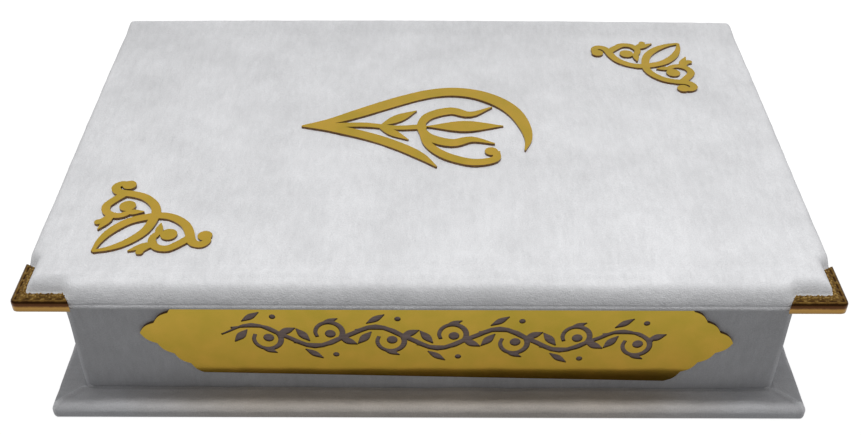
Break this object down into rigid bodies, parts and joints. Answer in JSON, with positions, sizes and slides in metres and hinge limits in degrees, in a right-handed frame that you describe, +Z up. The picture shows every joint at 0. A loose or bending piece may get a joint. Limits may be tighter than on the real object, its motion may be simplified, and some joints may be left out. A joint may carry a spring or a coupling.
{
  "type": "prayer book in case",
  "caption": "Prayer book in a velvet-covered book-form case with a padded hinged lid, stamped corner guards and gold acrylic ornaments.",
  "frame": {"origin": "middle of the resting face, under the middle of the case", "axes": "+X along the spine, +Y from the opening side to the hinge, +Z up through the closed lid"},
  "size_m": [0.2816, 0.1874, 0.0637],
  "materials": {
    "velvet": "white short-pile velvet",
    "greyboard": "raw greyboard",
    "foam": "soft open-cell foam sheet",
    "satin": "ivory satin lining",
    "gold_acrylic": "gold mirror acrylic, laser cut",
    "antique_brass": "stamped sheet with a dark antique patina",
    "book_cloth": "white imitation leather over board",
    "mull": "open cotton gauze",
    "page_edges": "cream leaves with lightly gilded edges",
    "endpaper": "heavy cream paper",
    "headband": "worked silk cord",
    "leaves": "thin cream paper"
  },
  "bodies": {
    "case": {"base_velvet": "velvet", "base_board": "greyboard", "flange_pad_front": "foam", "flange_pad_left": "foam", "flange_pad_right": "foam", "tray_floor": "greyboard", "front_wall": "greyboard", "left_wall": "greyboard", "right_wall": "greyboard", "back_wall": "greyboard", "spine_board": "greyboard", "wall_velvet": "velvet", "spine_velvet": "velvet", "floor_lining": "satin", "wall_lining": "satin", "front_plate": "gold_acrylic"},
    "lid": {"lid_board": "greyboard", "lid_foam": "foam", "lid_velvet": "velvet", "lid_lining": "satin", "lid_emblem": "gold_acrylic", "corner_ornament_front": "gold_acrylic", "corner_ornament_back": "gold_acrylic", "corner_guard_left": "antique_brass", "corner_guard_right": "antique_brass"},
    "book": {"book_back_cover": "book_cloth", "book_spine": "book_cloth", "spine_mull": "mull", "text_block": "page_edges", "back_endpaper": "endpaper", "headband_left": "headband", "headband_right": "headband"},
    "book_cover": {"book_front_cover": "book_cloth", "front_endpaper": "endpaper"},
    "leaves_lower": {"leaf_section_lower": "leaves"},
    "leaves_middle": {"leaf_section_middle": "leaves"},
    "leaves_upper": {"leaf_section_upper": "leaves"}
  },
  "joints": [
    {"name": "lid_hinge", "type": "hinge", "parent": "case", "child": "lid", "pos_m": [0, 0.09335, 0.05365], "axis": [-1, 0, 0], "range_deg": [0, 178]},
    {"name": "book_lift", "type": "slide", "parent": "case", "child": "book", "axis": [0, 0, 1], "range_m": [0, 0.0436]},
    {"name": "book_cover_hinge", "type": "hinge", "parent": "book", "child": "book_cover", "pos_m": [0, 0.0819, 0.0455], "axis": [-1, 0, 0], "range_deg": [0, 149]},
    {"name": "leaves_upper_hinge", "type": "hinge", "parent": "book", "child": "leaves_upper", "pos_m": [0, 0.0795, 0.0432], "axis": [-1, 0, 0], "range_deg": [0, 107]},
    {"name": "leaves_middle_hinge", "type": "hinge", "parent": "book", "child": "leaves_middle", "pos_m": [0, 0.0795, 0.0418], "axis": [-1, 0, 0], "range_deg": [0, 75]},
    {"name": "leaves_lower_hinge", "type": "hinge", "parent": "book", "child": "leaves_lower", "pos_m": [0, 0.0795, 0.0404], "axis": [-1, 0, 0], "range_deg": [0, 43]}
  ],
  "couplings": [
    {"joint": "book_lift", "follows": "lid_hinge", "m_per_rad": 0.014},
    {"joint": "book_cover_hinge", "follows": "lid_hinge", "ratio": 0.8333},
    {"joint": "leaves_upper_hinge", "follows": "lid_hinge", "ratio": 0.6},
    {"joint": "leaves_middle_hinge", "follows": "lid_hinge", "ratio": 0.42},
    {"joint": "leaves_lower_hinge", "follows": "lid_hinge", "ratio": 0.24}
  ]
}
